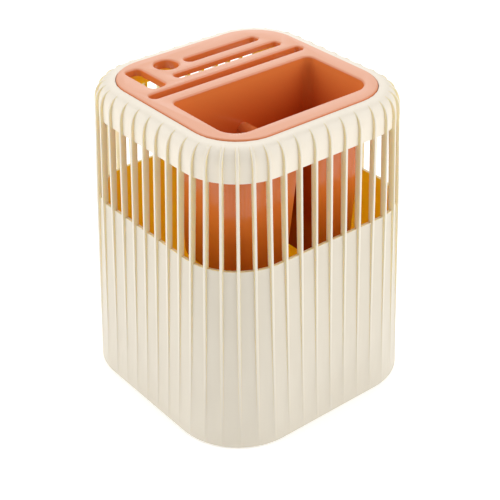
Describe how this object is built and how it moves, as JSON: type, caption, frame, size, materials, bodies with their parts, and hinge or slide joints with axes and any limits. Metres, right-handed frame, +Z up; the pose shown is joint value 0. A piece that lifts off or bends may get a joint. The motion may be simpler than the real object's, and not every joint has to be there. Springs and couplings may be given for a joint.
{
  "type": "rotating knife and utensil organizer",
  "caption": "Square ribbed countertop organizer with rounded corners, a lift-out tray with a divided tub, knife slots and holes, and a hidden ball-bearing turntable to spin on.",
  "frame": {"origin": "on the table under the middle of the organizer, on the axis it turns about", "axes": "+Z up along the turning axis, X along the knife slots, -Y towards the tub"},
  "size_m": [0.165, 0.165, 0.2],
  "materials": {
    "cream_plastic": "satin moulded cream plastic",
    "coral_plastic": "semi-gloss moulded coral plastic",
    "pale_plastic": "plain moulded pale plastic",
    "bright_steel": "bright plated steel",
    "grey_rubber": "matt rubber"
  },
  "bodies": {
    "base": {"swivel_base": "pale_plastic", "pivot_pin": "bright_steel", "pivot_washer": "bright_steel", "foot_1": "grey_rubber", "foot_2": "grey_rubber", "foot_3": "grey_rubber", "foot_4": "grey_rubber"},
    "ball_ring": {"ball_cage": "pale_plastic", "ball_1": "bright_steel", "ball_2": "bright_steel", "ball_3": "bright_steel", "ball_4": "bright_steel", "ball_5": "bright_steel", "ball_6": "bright_steel", "ball_7": "bright_steel", "ball_8": "bright_steel", "ball_9": "bright_steel", "ball_10": "bright_steel", "ball_11": "bright_steel", "ball_12": "bright_steel"},
    "organizer": {"outer_shell": "cream_plastic", "race_plate": "pale_plastic", "plate_screw_1": "bright_steel", "plate_screw_2": "bright_steel", "plate_screw_3": "bright_steel", "plate_screw_4": "bright_steel"},
    "insert": {"insert_tray": "coral_plastic"}
  },
  "joints": [
    {"name": "turntable_spin", "type": "hinge", "parent": "base", "child": "organizer", "pos_m": [0, 0, 0.0068], "axis": [0, 0, 1], "continuous": true},
    {"name": "ball_ring_roll", "type": "hinge", "parent": "base", "child": "ball_ring", "pos_m": [0, 0, 0.0068], "axis": [0, 0, 1], "continuous": true},
    {"name": "insert_lift", "type": "slide", "parent": "organizer", "child": "insert", "axis": [0, 0, 1], "range_m": [0, 0.115]}
  ],
  "couplings": [
    {"joint": "ball_ring_roll", "follows": "turntable_spin", "ratio": 0.5}
  ]
}
